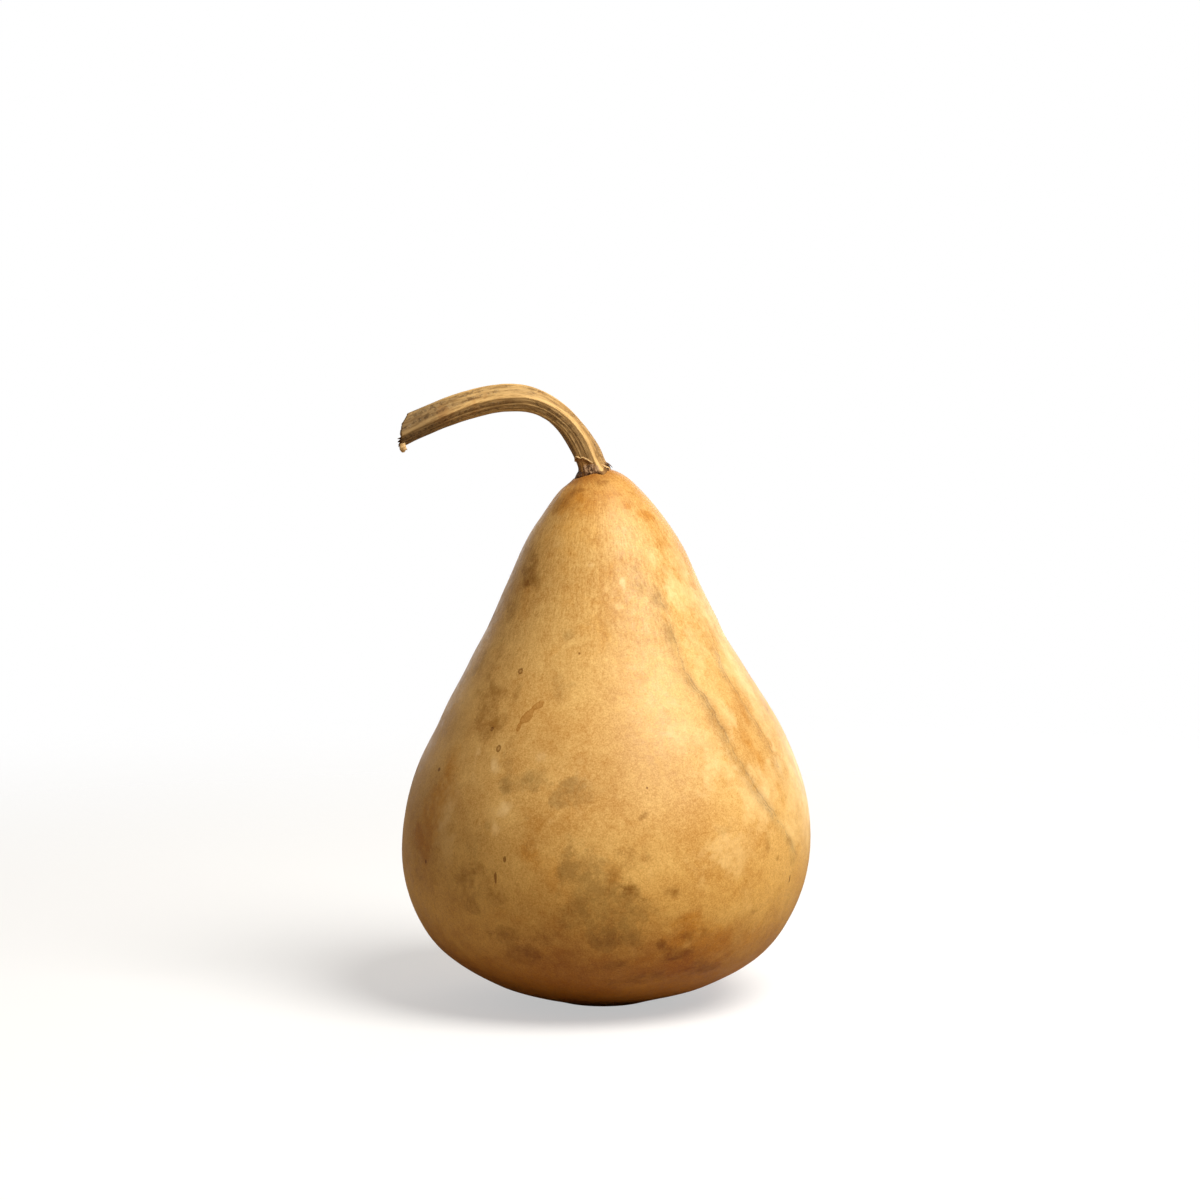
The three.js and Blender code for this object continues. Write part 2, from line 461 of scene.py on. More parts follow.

# %% [markdown]
# ## Where the stains are
#
# Mould and sun stain a drying gourd in soft patches; the tall pale patches on the right flank are partly a
# painted highlight along that edge instead. Each patch is a place on the shell, its half width and half
# height and its strength: [degrees round from the front, mm up, mm wide, mm tall, strength]. Their sum goes
# onto the mesh as one named value for each kind of stain, and the finish breaks up its edges later. Waves
# push each patch out of shape first, so that none stays an ellipse.

# %% Stains
STAINS = {
    "brown": [
        [-51, 151, 3.5, 2.2, 0.9], [-55, 155, 5, 4, 0.5], [-62, 158, 5, 6, 0.45], [-57, 149, 3, 3, 0.4],
        [-44, 148, 2.5, 2, 0.6], [-58, 139, 4, 4, 0.5], [-66, 141, 4, 3, 0.4], [-55, 126, 3, 2, 0.4],
        [-28, 181, 3.5, 0.9, 0.5], [-38, 180, 4, 1.2, 0.3], [-14, 183, 3, 0.8, 0.3],
        [-50, 179, 5, 1.8, 0.3], [-60, 176, 4, 3, 0.6], [-5, 184, 3, 1, 0.6], [-45, 127, 3, 2, 0.4],
        [-48, 114, 5, 3, 0.5], [-50, 107, 8, 9, 0.32], [-44, 102, 6, 5, 0.3], [-57, 119, 5, 6, 0.4],
        [-60, 112, 4, 3, 0.5], [-37, 114, 1.8, 3, 0.5], [-53, 105, 4, 5, 0.35], [-42, 104, 3, 4, 0.4],
        [-38, 107, 2.5, 4, 0.4], [-33, 100, 3, 5, 0.3], [-70, 121, 4, 6, 0.4], [-36, 56, 6, 5, 0.6],
        [-42, 52, 5, 5, 0.5], [-32, 47, 6, 4, 0.5], [-50, 50, 6, 5, 0.45], [-63, 50, 6, 6, 0.4],
        [-40, 42, 7, 4, 0.5], [-33, 34, 9, 4, 0.6], [-18, 34, 9, 4, 0.4], [-23, 27, 10, 4, 0.6],
        [-12, 55, 4, 5, 0.4], [7, 51, 3, 2.8, 1.0], [18.3, 50, 2.4, 2, 0.8], [3, 56, 4, 5, 0.5],
        [5, 65, 3, 4, 0.35], [2.5, 86, 1, 2, 0.4], [11.3, 76.6, 1.8, 1.6, 0.9], [9.5, 75, 1, 1, 0.6],
        [-22, 65, 3, 4, 0.35], [55, 57, 1.2, 1.2, 0.8], [30, 26, 9, 6, 0.2], [42, 25, 7, 4, 0.3],
        [26, 31, 6, 4, 0.25], [20, 29, 4, 3, 0.35], [17, 31.5, 2.6, 2.4, 0.75],
        [20, 26.3, 3.5, 1.6, 0.5], [25, 27, 3.5, 1.8, 0.45], [30, 22, 4, 3.5, 0.3],
        [24, 34, 3, 2, 0.5], [31, 34.5, 3, 2, 0.6], [36, 20, 5, 2.5, 0.6], [22, 40, 4, 2, 0.4],
        [6, 24, 3, 1.6, 0.7], [1, 23, 3, 1.6, 0.5], [10, 17.5, 5, 3, 0.6], [2, 16, 4, 3, 0.5],
        [18, 19, 5, 3, 0.4], [-6, 21, 5, 3, 0.6], [47.5, 40.5, 2.4, 2, 0.5], [58, 40, 2, 3, 0.4],
        [41, 48, 2, 1.5, 0.3], [51, 61, 1.4, 3.5, 0.6], [9, 60, 5, 5, 0.5],
    ],
    "olive": [
        [-32, 84, 3.4, 3, 1.0], [-35.5, 84.5, 2.4, 1.6, 0.4], [-23, 87, 6, 3.2, 0.9],
        [-31.5, 92, 3.2, 4, 0.5], [-11, 84, 8, 5, 0.85], [-14, 79, 4, 3, 0.5], [-8.5, 87, 4, 2, 0.4],
        [-23, 74.5, 1.2, 1, 0.6], [-27, 80, 3, 2, 0.3], [-36, 115, 3, 2, 0.4], [-39, 63, 4, 3, 0.4],
        [-36, 70, 3, 3, 0.4], [-9, 65, 3.5, 5, 0.6], [-10, 58, 4, 4, 0.5], [-4, 66, 2.5, 3, 0.4],
        [-2, 50, 7, 4, 0.5], [-7, 46, 5, 3, 0.5], [-12, 39, 5, 3, 0.5], [-4, 57, 7, 7, 0.5],
        [6, 49, 7, 6, 0.45], [4, 38, 10, 7, 0.8], [-6, 50, 12, 10, 0.5], [3, 44, 10, 8, 0.4],
        [0, 33, 6, 3, 0.6], [9, 34, 4, 3, 0.5], [-13, 115, 5, 4, 0.4], [-18, 133, 3.5, 5, 0.5],
        [-20, 117, 4, 5, 0.3], [-42, 137, 4, 6, 0.35], [-62, 128, 4, 5, 0.3], [30, 146, 7, 7, 0.4],
        [33, 133, 4, 8, 0.4], [24, 152, 4, 5, 0.3], [12, 63, 3, 2, 0.4], [34, 69, 3, 2.5, 0.4],
        [38, 66, 3, 1.5, 0.3], [61, 61.5, 3, 2, 0.9], [64, 55, 4, 4, 0.5], [66, 42, 6, 5, 0.3],
        [44, 95, 4, 5, 0.2],
    ],
    "rust": [
        [-25.3, 111, 1.5, 0.9, 1.0], [-26.9, 109.9, 1.3, 0.8, 0.9], [-28.1, 108.5, 0.9, 1, 0.6],
        [-28.7, 107.2, 1.4, 1.7, 1.0], [-30.6, 106.4, 1.6, 1.4, 0.8], [-31.6, 103, 0.8, 1.9, 0.9],
    ],
    "orange": [
        [-57, 82, 6, 8, 0.7], [-55, 76, 5, 6, 0.5], [-58, 90, 5, 5, 0.5], [-62, 64, 7, 7, 0.6],
        [-66, 60, 6, 6, 0.5], [-48, 102, 7, 5, 0.5], [-24, 128, 3, 2.5, 0.5], [-22, 65, 4, 6, 0.5],
        [-14, 57, 3, 6, 0.5], [-28, 40, 8, 4, 0.5], [-20, 60, 4, 6, 0.4], [2, 57, 4, 7, 0.5],
        [27, 35, 8, 4, 0.8], [26, 26, 9, 6, 0.4], [22, 40, 5, 2.5, 0.7], [36, 30, 5, 3, 0.6],
        [12, 28, 4, 4, 0.4], [22, 22, 12, 4, 0.7], [22, 31, 16, 8, 0.5], [-10, 28, 16, 7, 0.5],
        [38, 27, 12, 6, 0.6], [52, 30, 8, 5, 0.4], [-60, 71, 10, 14, 0.7], [-4, 150, 20, 16, 0.35],
        [45, 173, 5, 1.6, 0.7], [55, 171, 4, 1.6, 0.6], [27, 176, 2.5, 1.2, 0.8], [50, 165, 7, 6, 0.5],
        [-25, 166, 10, 6, 0.4], [-30, 177, 12, 4, 0.8], [-50, 172, 6, 8, 0.5], [10, 180, 6, 2, 0.4],
        [52.5, 97, 2.6, 3.4, 0.9], [56, 91, 3, 5, 0.8], [58, 104, 2, 5, 0.8], [60, 112, 2, 6, 0.6],
        [59, 80, 2.4, 2.4, 0.8], [61, 74, 1.6, 4, 0.6], [42, 49, 12, 6, 0.3], [-55, 145, 6, 10, 0.5],
        [17, 121, 3, 3, 0.4], [3, 156, 5, 3, 0.4], [-3, 134, 12, 10, 0.4], [10, 115, 9, 9, 0.3],
    ],
    # Pale patches are rubbed or dried-out skin; the tall ones on the right flank are partly a painted
    # highlight along that edge.
    "pale": [
        [52, 138, 7, 22, 0.35], [44, 130, 5, 18, 0.25], [70, 120, 6, 24, 0.3], [50, 76, 9, 12, 0.7],
        [76, 74, 11, 20, 0.9], [-37, 90, 2.6, 5, 0.8], [-30, 77.5, 3.5, 3, 0.8],
        [-25, 82.5, 2.5, 2, 0.6], [-33, 71, 3, 4, 0.6], [-20, 93, 4, 4, 0.4], [-4, 86, 5, 6, 0.4],
        [-45, 92, 2, 6, 0.5], [-15, 75, 3, 5, 0.4], [13, 56, 3, 3, 0.3], [-54, 70, 12, 18, 0.7],
        [35, 60, 9, 8, 0.8], [27, 62, 6, 5, 0.3], [43, 44, 7, 6, 0.4],
        [8, 30, 3, 4, 0.5], [26, 31, 2, 1.5, 0.7], [35, 90, 10, 12, 0.6],
        [24, 104, 9, 8, 0.4], [60, 88, 3, 5, 0.5], [66, 92, 3, 10, 0.5], [48, 104, 3, 8, 0.5],
        [54, 83, 1.4, 5, 0.8], [12, 150, 1.8, 2.2, 1.0], [1, 149, 1.5, 1.5, 0.7],
        [-11, 156, 1.5, 2, 0.7], [36, 158, 3, 3, 0.6], [45, 147, 4, 5, 0.5], [6, 143, 2, 2, 0.6],
        [-38, 161, 5, 6, 0.3], [62, 66, 7, 9, 0.6], [84, 78, 8, 20, 0.6], [66, 148, 6, 14, 0.5],
        [70, 115, 6, 12, 0.5],
    ],
}
BACK_STAINS = {"brown": 34, "olive": 22, "orange": 24, "pale": 18}
# A back patch is drawn between these: degrees round, mm up, how broad from 0 to 1, and height over width.
BACK_FROM = [82, 14, 0, 0.5]
BACK_TO = [275, 176, 1, 1.3]
PUSH = 2 * MM
FIBRE_RADIUS = 45 * MM

draw = np.random.default_rng(41)
for name, count in BACK_STAINS.items():
    drawn = draw.uniform(BACK_FROM, BACK_TO, (count, 4))
    for turned, rise, spread, squash in drawn.tolist():
        wide = 2 + 11 * spread**2
        STAINS[name].append([turned, rise, wide, wide * squash, 0.85 - 0.45 * spread])


def stained(patches):
    """The sum over the patches of strength times exp(-(sideways/width)^2 - (upwards/height)^2), up to 1."""
    sideways = PUSH * waves(shell, 13 * MM, seed=11) + 0.4 * PUSH * waves(shell, 5 * MM, seed=12)
    upwards = PUSH * waves(shell, 13 * MM, seed=13) + 0.4 * PUSH * waves(shell, 5 * MM, seed=14)
    total = np.zeros_like(level)
    for turned, rise, wide, tall, strong in patches:
        round_by = np.radians((bearing - turned + 180) % 360 - 180) * girth + sideways * min(1, wide / 5)
        up_by = level - rise * MM + upwards * min(1, tall / 5)
        total += strong * bell(round_by, wide * MM) * bell(up_by, tall * MM)
    return np.minimum(total, 1)


marks = {name: stained(patches) for name, patches in STAINS.items()}
for name, (aside, reach) in vein.items():
    marks[name] = aside / MM
    marks[name + "_reach"] = reach
seat_middle = np.array([axis_lean(1) - SEAT_SHIFT, 0, BODY_TALL]) + to_frame
marks["under_stem"] = 1 - smooth_step(np.linalg.norm(shell - seat_middle, axis=-1), 6.5 * MM, 13 * MM)
marks["foot_scar"] = at_foot
run = np.concatenate([[0], np.cumsum(np.linalg.norm(np.diff(profile, axis=0), axis=1))])[:, None]
rolled_out = [np.cos(turn) * FIBRE_RADIUS + 0 * run, np.sin(turn) * FIBRE_RADIUS + 0 * run, run + 0 * turn]
marks["grain_place"] = np.stack(rolled_out, -1)
gourd_shell = closed_mesh("gourd_shell", [shell], {name: [mark] for name, mark in marks.items()})

# %% [markdown]
# ## The stem's path
#
# The stem rises out of the seat along its tilt, arches over to the left and ends a hand's width away,
# drooping. One cubic Bezier curve says this with two end points and two directions. The ring at each place
# along it needs a frame: the direction of travel, a sideways direction that stays level, and a third square
# to both.

# %% Stem path
STEM_TIP = np.array([-71.2, -1, 200.9]) * MM
STEM_RISE = 33 * MM
STEM_REACH = 42 * MM
TIP_DROOP = math.radians(25)
STEM_BOW = 3 * MM
SUNK = 1.2 * MM
STEM_RINGS = 330
STEM_COLUMNS = 250

out_of_seat = np.array([-math.sin(SEAT_TILT), 0, math.cos(SEAT_TILT)])
stem_foot = np.array([axis_lean(1) - SEAT_SHIFT, 0, BODY_TALL])
back_from_tip = STEM_TIP + STEM_REACH * np.array([math.cos(TIP_DROOP), 0, math.sin(TIP_DROOP)])
back_from_tip[1] = STEM_BOW
handles = np.array([stem_foot, stem_foot + STEM_RISE * out_of_seat, back_from_tip, STEM_TIP]) + to_frame
t = np.linspace(0, 1, 2000)[:, None]
weights = np.hstack([(1 - t) ** 3, 3 * t * (1 - t) ** 2, 3 * t**2 * (1 - t), t**3])
path = weights @ handles
path_run = np.concatenate([[0], np.cumsum(np.linalg.norm(np.diff(path, axis=0), axis=1))])
STEM_LENGTH = path_run[-1]


def on_path(distance):
    """The point at a distance along the stem, and there the directions along, sideways and inwards."""
    place = np.stack([np.interp(distance, path_run, column) for column in path.T], axis=-1)
    slope = np.gradient(path, path_run, axis=0)
    along = np.stack([np.interp(distance, path_run, column) for column in slope.T], axis=-1)
    along /= np.linalg.norm(along, axis=-1, keepdims=True)
    sideways = np.array([0, 1, 0]) - along * along[..., 1:2]
    sideways /= np.linalg.norm(sideways, axis=-1, keepdims=True)
    return place, along, sideways, np.cross(along, sideways)


print("stem: length", round(STEM_LENGTH / MM, 1), "mm")

# %% [markdown]
# ## The stem's ribs
#
# In life the stem was a bundle of tough strands, and in drying its soft flesh shrank between them. What is
# left is a five-sided section with rounded corners, the ridges, which turns a little along the stem, and
# flats between them with many fine lines. A five-sided outline in polar form is one cosine over another,
# and mixing it with a circle softens it. The foot stands a little to the right, drapes over the shell at
# its front right and its left, and spreads in a crumbling cork collar. The outer end was cut on the slant
# and is slightly hollow. The ridges, the under side, the collar, the cork, the peeled patch and the cut face
# are each a value over the grid, and the finish reads the same values.

# %% Stem surface
STEM_RADIUS = 3.95 * MM
CUT_SLANT = math.tan(math.radians(27))
STEM_TWIST = math.radians(-52)
FLATNESS = 0.62
END_RINGS = 26
FOOT_SHIFT = 1.2 * MM
FRONT_LEFT = math.radians(140)
DRAPE_FRONT_RIGHT = math.radians(212)
DRAPE_LEFT = math.radians(95)
DRAPE_TALL = 1.7 * MM

share = np.linspace(0, 1, STEM_RINGS)[:, None]
angle = np.linspace(0, 2 * np.pi, STEM_COLUMNS, endpoint=False)[None, :]
size = STEM_RADIUS + 1.1 * MM * bell(share, 0.03) + 0.45 * MM * (1 - smooth_step(share, 0.05, 0.28))
size = size + 0.9 * MM * smooth_step(share, 0.28, 0.55)
swing = math.radians(7.5) * bell(share - 0.22, 0.09) - math.radians(8) * bell(share - 0.03, 0.07)
turned = angle - STEM_TWIST * share - swing
wander = turned + 0.05 * np.sin(2 * turned + 1) + 0.03 * np.sin(6 * share * np.pi + 3 * turned)
ridge = 0.5 * np.cos(5 * wander - 0.5) + 0.5 * np.cos(10 * wander - 0.5)
lower_flat = np.degrees(turned) % 360
# under marks the stem's lower flats, which the finish darkens with a painted shade.
under = smooth_step(lower_flat, 80, 110) * (1 - smooth_step(lower_flat, 208, 214))
past_corner = np.sqrt(((wander + np.pi / 5) % (2 * np.pi / 5) - np.pi / 5) ** 2 + 0.08**2)
pentagon = math.cos(np.pi / 5) / np.cos(np.pi / 5 - past_corner) / 0.88
rib = np.cos(20 * wander + 0.8 * np.sin(4 * share * np.pi)) * 0.7 + np.cos(33 * wander + 2) * 0.3
distance = share * STEM_LENGTH
upright = [np.cos(turned) * STEM_RADIUS, np.sin(turned) * STEM_RADIUS]
around_place = np.stack([*upright, distance / 9 + 0 * turned], -1)
solid_place = np.stack([*upright, distance + 0 * turned], -1)
lines = waves(around_place, 1.7 * MM, seed=21) + 0.7 * waves(around_place, 0.8 * MM, seed=22)
shrink = waves(solid_place, 9 * MM, seed=23) + 0.5 * waves(solid_place, 3 * MM, seed=27)
crumbs = waves(solid_place, 1.9 * MM, seed=24)
towards_patch = (angle - FRONT_LEFT + np.pi) % (2 * np.pi) - np.pi
collar_tall = (0.9 + 0.5 * np.sin(3 * angle + 1) + 0.3 * np.sin(8 * angle)) * MM
collar = 1 - smooth_step(distance, collar_tall, collar_tall + 0.9 * MM)
cork = bell(towards_patch - 0.55, 0.6) * (1 - smooth_step(distance, 2.6 * MM, 4.6 * MM))
peel_tall = (7.4 - 1.6 * (towards_patch / 0.9) ** 2 - 1.6 * smooth_step(towards_patch, 0, 0.8)) * MM
peel_tall += 0.25 * MM * np.sin(9 * angle) + 0.15 * MM * np.sin(16 * angle + 1)
peeled = (1 - smooth_step(distance, peel_tall - 0.3 * MM, peel_tall)) * (np.abs(towards_patch) < 1.0)
girth_of_stem = size * (1 - FLATNESS + FLATNESS * pentagon + 0.016 * rib + 0.012 * lines + 0.012 * shrink)
girth_of_stem = girth_of_stem + 0.8 * MM * bell(share - 0.1, 0.13) * np.maximum(-np.sin(angle), 0)
crumbling = 0.28 * MM * crumbs + 0.1 * MM
girth_of_stem = girth_of_stem + np.maximum(collar, cork) * crumbling - 0.22 * MM * peeled
place, along, sideways, inwards = on_path(distance[:, 0])
side = (np.cos(angle) * girth_of_stem)[..., None]
depth_in = (np.sin(angle) * girth_of_stem)[..., None]
near_tip = smooth_step(share, 0.8, 1)[..., None]
at_tip = smooth_step(share, 0.93, 1)[..., None]
lower_corner = 1.2 * smooth_step(depth_in, 2.5 * MM, 5 * MM)
upper_corner = 2.6 * smooth_step(-depth_in, 1.2 * MM, 5 * MM)
rounded = at_tip * (upper_corner + lower_corner) * MM
stem = place[:, None] + side * sideways[:, None] + depth_in * inwards[:, None]
stem = stem + along[:, None] * (depth_in * CUT_SLANT * near_tip - rounded)
front_right = bell(angle - DRAPE_FRONT_RIGHT, 0.6)
left = bell(angle - DRAPE_LEFT, 0.4)
draped = ((front_right + 0.7 * left) * bell(distance, DRAPE_TALL) * MM)[..., None]
outwards = np.cos(angle)[..., None] * sideways[:, None] + np.sin(angle)[..., None] * inwards[:, None]
stem = stem + draped * (1.3 * outwards - [0, 0, 0.8])
stem[..., 0] += FOOT_SHIFT * (1 - smooth_step(share, 0, 0.35))
stem[..., 2] += min(cad_high.z - stem[..., 2].max(), 0) * smooth_step(share, 0, 0.4)
ragged = 0.28 * MM * waves(stem[-1], 1.6 * MM, seed=25)[:, None]
stem[-1] = stem[-1] + along[-1] * ragged
stem[0] = stem[0] - along[0] * SUNK

inset = np.linspace(1, 0.05, END_RINGS + 1)[1:, None, None]
hollow = (0.5 * smooth_step(1 - inset, 0.05, 0.2) + 1.1 * smooth_step(1 - inset, 0.2, 0.6)
          + 2.2 * smooth_step(1 - inset, 0.6, 0.85)) * MM
tip_middle = stem[-1].mean(0)
strand_place = stem[-1][None] + inset * [0, 0, 2 * MM]
strands = 0.22 * MM * waves(strand_place, 1.5 * MM, seed=26)[..., None]
end = tip_middle + (stem[-1] - tip_middle) * inset - along[-1] * (hollow + strands * (inset < 0.97))
none_there = np.zeros((END_RINGS, STEM_COLUMNS))
on_bark = {"ridge": ridge, "under": under, "collar": collar, "peeled": peeled, "cork": cork}
stem_values = {name: [np.vstack([grid, none_there])] for name, grid in on_bark.items()}
stem_values["cut_face"] = [np.vstack([np.zeros_like(ridge), none_there + 1])]
stem_values["grain_place"] = [np.concatenate([around_place, end])]
stem_bark = closed_mesh("stem_bark", [np.concatenate([stem, end])], stem_values)

# %% [markdown]
# ## Torn fibres, flakes and a thread of bark
#
# Close up, the stem is ragged. Dark fibres and a pale shred hang from the lower corner of its cut end. At
# its foot some bark has peeled off, and the edge that is left curls like a thread; flakes of it stand about
# the foot. Each of these is a strip along a short curve, flat or round, that narrows to its tip.

# %% Loose bits of the stem
def strip(places, half_widths, flat, facing, columns=10, count=26):
    """A tapering strip as rings of ellipses along the curve through places, in metres: half as wide as
    half_widths say in mm, flat times as thick, with its flat side towards facing."""
    middle = curve_through(places, count)
    along = np.gradient(middle, axis=0)
    along /= np.linalg.norm(along, axis=1, keepdims=True)
    side = np.cross(along, facing)
    side /= np.linalg.norm(side, axis=1, keepdims=True)
    above = np.cross(along, side)
    wide = np.interp(np.linspace(0, 1, count), np.linspace(0, 1, len(half_widths)), half_widths)
    wide = wide[:, None, None] * MM
    round_it = np.linspace(0, 2 * np.pi, columns, endpoint=False)[None, :, None]
    ellipse = np.cos(round_it) * side[:, None] + flat * np.sin(round_it) * above[:, None]
    return middle[:, None] + wide * ellipse


def by_tip(towards_tip, sideways_by, down):
    """A place near the stem's end, in mm: beyond its end, away from the camera, and towards its under
    side."""
    return place[-1] + (along[-1] * towards_tip + sideways[-1] * sideways_by + inwards[-1] * down) * MM


def by_foot(turned, up, out, drop=0):
    """A place at the stem's foot: degrees round it, mm along it, mm out from its bark, and mm straight
    down."""
    row = np.abs(distance[:, 0] - up * MM).argmin()
    column = round(turned / 360 * STEM_COLUMNS) % STEM_COLUMNS
    ray = stem[row, column] - place[row]
    return stem[row, column] + (ray / np.linalg.norm(ray) * out - np.array([0, 0, drop])) * MM


FRONT = np.array([0, -1, 0])
FIBRES = [
    # mm beyond the stem's end, mm away from the camera, mm towards the under side, and then the fibre's
    # length and droop in mm
    [1.0, -2.6, 2.8, 1.6, 0.0],
    [1.2, -2.2, 3.6, 1.9, 0.5],
    [1.4, -1.2, 3.2, 1.4, -0.2],
    [1.4, -0.6, 4.0, 1.8, 0.7],
    [1.2, 0.8, 3.6, 1.4, 0.2],
    [1.0, 1.8, 3.4, 1.2, 0.6],
    [0.6, -3.2, 2.2, 1.8, -0.3],
]
tuft = []
for towards, aside, down, longer, drop in FIBRES:
    root = by_tip(towards - 1.5, aside, down)
    middle = by_tip(towards + 0.4 * longer, aside * 1.05, down + 0.2 * drop)
    point = by_tip(towards + longer, aside * 1.1, down + drop)
    tuft.append(strip([root, middle, point], [0.55, 0.5, 0.08], 0.6, FRONT))
tip_tuft = closed_mesh("tip_tuft", tuft)
shred = [by_tip(1.2, -2.2, 3.8), by_tip(1.8, -2.8, 5.0), by_tip(2.2, -2.8, 6.0), by_tip(2.6, -2.4, 7.0)]
twig = [by_tip(1.4, -1.8, 5.2), by_tip(1.2, -2.0, 6.2), by_tip(0.9, -1.8, 6.9)]
tip_shred = closed_mesh("tip_shred", [
    strip(shred, [0.8, 1.0, 1.2, 1.1, 0.5], 0.35, FRONT), strip(twig, [0.5, 0.4, 0.1], 0.5, FRONT)])

EDGE_TURNS = range(88, 196, 4)
THREAD_LIFT = 0.3
THREAD_WIDTHS = [0.1, 0.28, 0.3, 0.25, 0.3, 0.12]
edge_height = [peel_tall[0, round(turned / 360 * STEM_COLUMNS)] / MM for turned in EDGE_TURNS]
edge = [by_foot(turned, tall, THREAD_LIFT) for turned, tall in zip(EDGE_TURNS, edge_height)]
peel_thread = closed_mesh("peel_thread", [strip(edge, THREAD_WIDTHS, 0.8, FRONT, count=90)])
FLAKES = [
    # degrees round the stem, mm up, how far it stands out, its half width and how far it hangs, all in mm
    [84, 0.6, 1.2, 0.9, 0.4],
    [98, 0.2, 1.6, 1.1, 0.9],
    [112, 0.3, 1.5, 1.1, 1.0],
    [126, 0.1, 1.1, 1.0, 0.9],
    [252, 0.5, 0.8, 0.8, 0.2],
    [266, 0.2, 1.0, 0.9, 0.2],
    [40, 0.5, 1.0, 0.9, 0],
    [330, 0.4, 1.0, 0.8, 0],
]
CHIPS = [[234, 0.9, 0.5, 0.6], [243, 0.2, 0.6, 0.5]]
flakes = []
for turned, up, lift, wide, drop in FLAKES:
    root = by_foot(turned, up + 2.2, -0.3)
    middle = by_foot(turned + 3, up + 1.2, 0.4 * lift, 0.3 * drop)
    point = by_foot(turned + 2, up + 0.1, lift, drop)
    flakes.append(strip([root, middle, point], [0.5, wide, 0.3], 0.22, middle - place[0]))
collar_flakes = closed_mesh("collar_flakes", flakes)
chips = []
for turned, up, lift, wide in CHIPS:
    root = by_foot(turned, up + 1.3, -0.2)
    middle = by_foot(turned - 2, up + 0.7, 0.5 * lift)
    point = by_foot(turned, up + 0.1, lift)
    chips.append(strip([root, middle, point], [0.3, wide, 0.2], 0.3, middle - place[0]))
pale_flakes = closed_mesh("pale_flakes", chips)

# %% [markdown]
# ## Simple floor
#
# The floor is a pale disc whose rim fades into the white room, so that no line shows where it ends. It lies
# a twentieth of a millimetre below the gourd, and is clear from below and under the flat of the foot, so
# that the base can be looked at too. To the camera it is brightened to the white of the room, and on the
# gourd it throws back only a little warm light.

# %% Floor
FLOOR_RADIUS = 5 * TALL
FLOOR_CORNERS = 96
FLOOR_DROP = 0.05 * MM
FADE_FROM = 1.2 * TALL
FADE_TO = 3.5 * TALL

rim_turn = np.linspace(0, 2 * np.pi, FLOOR_CORNERS, endpoint=False)
floor_points = np.stack([np.cos(rim_turn), np.sin(rim_turn), 0 * rim_turn], -1) * FLOOR_RADIUS
floor_mesh = bpy.data.meshes.new("floor")
floor_mesh.from_pydata(floor_points - [0, 0, FLOOR_DROP], [], [list(range(FLOOR_CORNERS))])
floor = bpy.data.objects.new("floor", floor_mesh)
bpy.context.scene.collection.objects.link(floor)


def new_finish(name):
    """An empty material, and a wire to start its recipe from."""
    material = bpy.data.materials.new(name)
    material.use_nodes = True
    material.node_tree.nodes.clear()
    return material, Wire(material.node_tree)


def finish_with(material, shader):
    """Joins the last shader of a recipe to the material's output, and says how many nodes the recipe
    took."""
    output = material.node_tree.nodes.new("ShaderNodeOutputMaterial")
    material.node_tree.links.new(shader.socket, output.inputs["Surface"])
    print(material.name, "has", len(material.node_tree.nodes), "nodes")
    return material


def pale_floor():
    """A matt white that turns to nothing between FADE_FROM and FADE_TO, under the foot, and seen from
    below."""
    material, start = new_finish("pale_floor")
    where = start.node("TexCoord", output=3)
    out = start.node("VectorMath", {"operation": "LENGTH"}, {0: where}, output=1)
    seen = start.node("LightPath")
    shade = seen.tint((0.40, 0.33, 0.26, 1), (0.92, 0.92, 0.92, 1))
    matt = start.node("BsdfDiffuse", inputs={"Color": shade})
    glow = start.node("Emission", inputs={"Color": (1, 1, 1, 1)})
    white = start.node("MixShader", inputs={0: seen * 0.5, 1: matt, 2: glow})
    nothing = start.node("BsdfTransparent")
    from_below = start.node("NewGeometry", output="Backfacing")
    under_foot = out.ramp(0.94 * FOOT_RADIUS, 0.9 * FOOT_RADIUS)
    shows = (1 - out.ramp(FADE_FROM, FADE_TO)) * (1 - from_below) * (1 - under_foot)
    return finish_with(material, start.node("MixShader", inputs={0: shows, 1: nothing, 2: white}))


floor.data.materials.append(pale_floor())

# %% [markdown]
# ## Where the spots are
#
# Besides its stains the skin has a few small round marks, from insects and rubbing; some have a paler
# middle. There are so few that each can be a place of its own in the finish: the spot is wherever a point
# of the skin lies within about a millimetre of that place. So a helper looks up the shell's nearest point.

# %% Small marks on the skin
SPOTS = [
    # degrees round, mm up, half width and half height in mm, and how much paler the middle is
    [-37.7, 95.9, 1.1, 1.2, 0.5],
    [-38.9, 120.5, 1.0, 1.1, 0.6],
    [-42.5, 101.5, 0.7, 0.8, 0.5],
    [-62.9, 86.3, 0.75, 0.75, 0],
    [-60, 54.2, 0.6, 0.7, 0],
    [-28.2, 60.7, 0.6, 1.1, 0],
    [-31.3, 53.5, 0.5, 1.9, 0],
    [62.8, 47.8, 0.4, 1.6, 0],
    [12.4, 84.5, 0.35, 0.35, 0],
    [-12, 127.5, 0.4, 0.4, 0],
    [128, 92, 1.1, 1.2, 0.5],
    [171, 64, 0.6, 1.6, 0],
    [-142, 118, 0.8, 0.8, 0.3],
    [-118, 71, 0.9, 1.0, 0.5],
    [151, 49, 0.6, 0.7, 0],
]


def on_shell(turned, rise):
    """The shell's own point nearest to a place given as degrees round and mm up."""
    miss = np.abs((bearing - turned + 180) % 360 - 180) + np.abs(level / MM - rise)
    return shell.reshape(-1, 3)[miss.argmin()].tolist()


print("first spot, mm:", [round(part / MM, 1) for part in on_shell(*SPOTS[0][:2])])
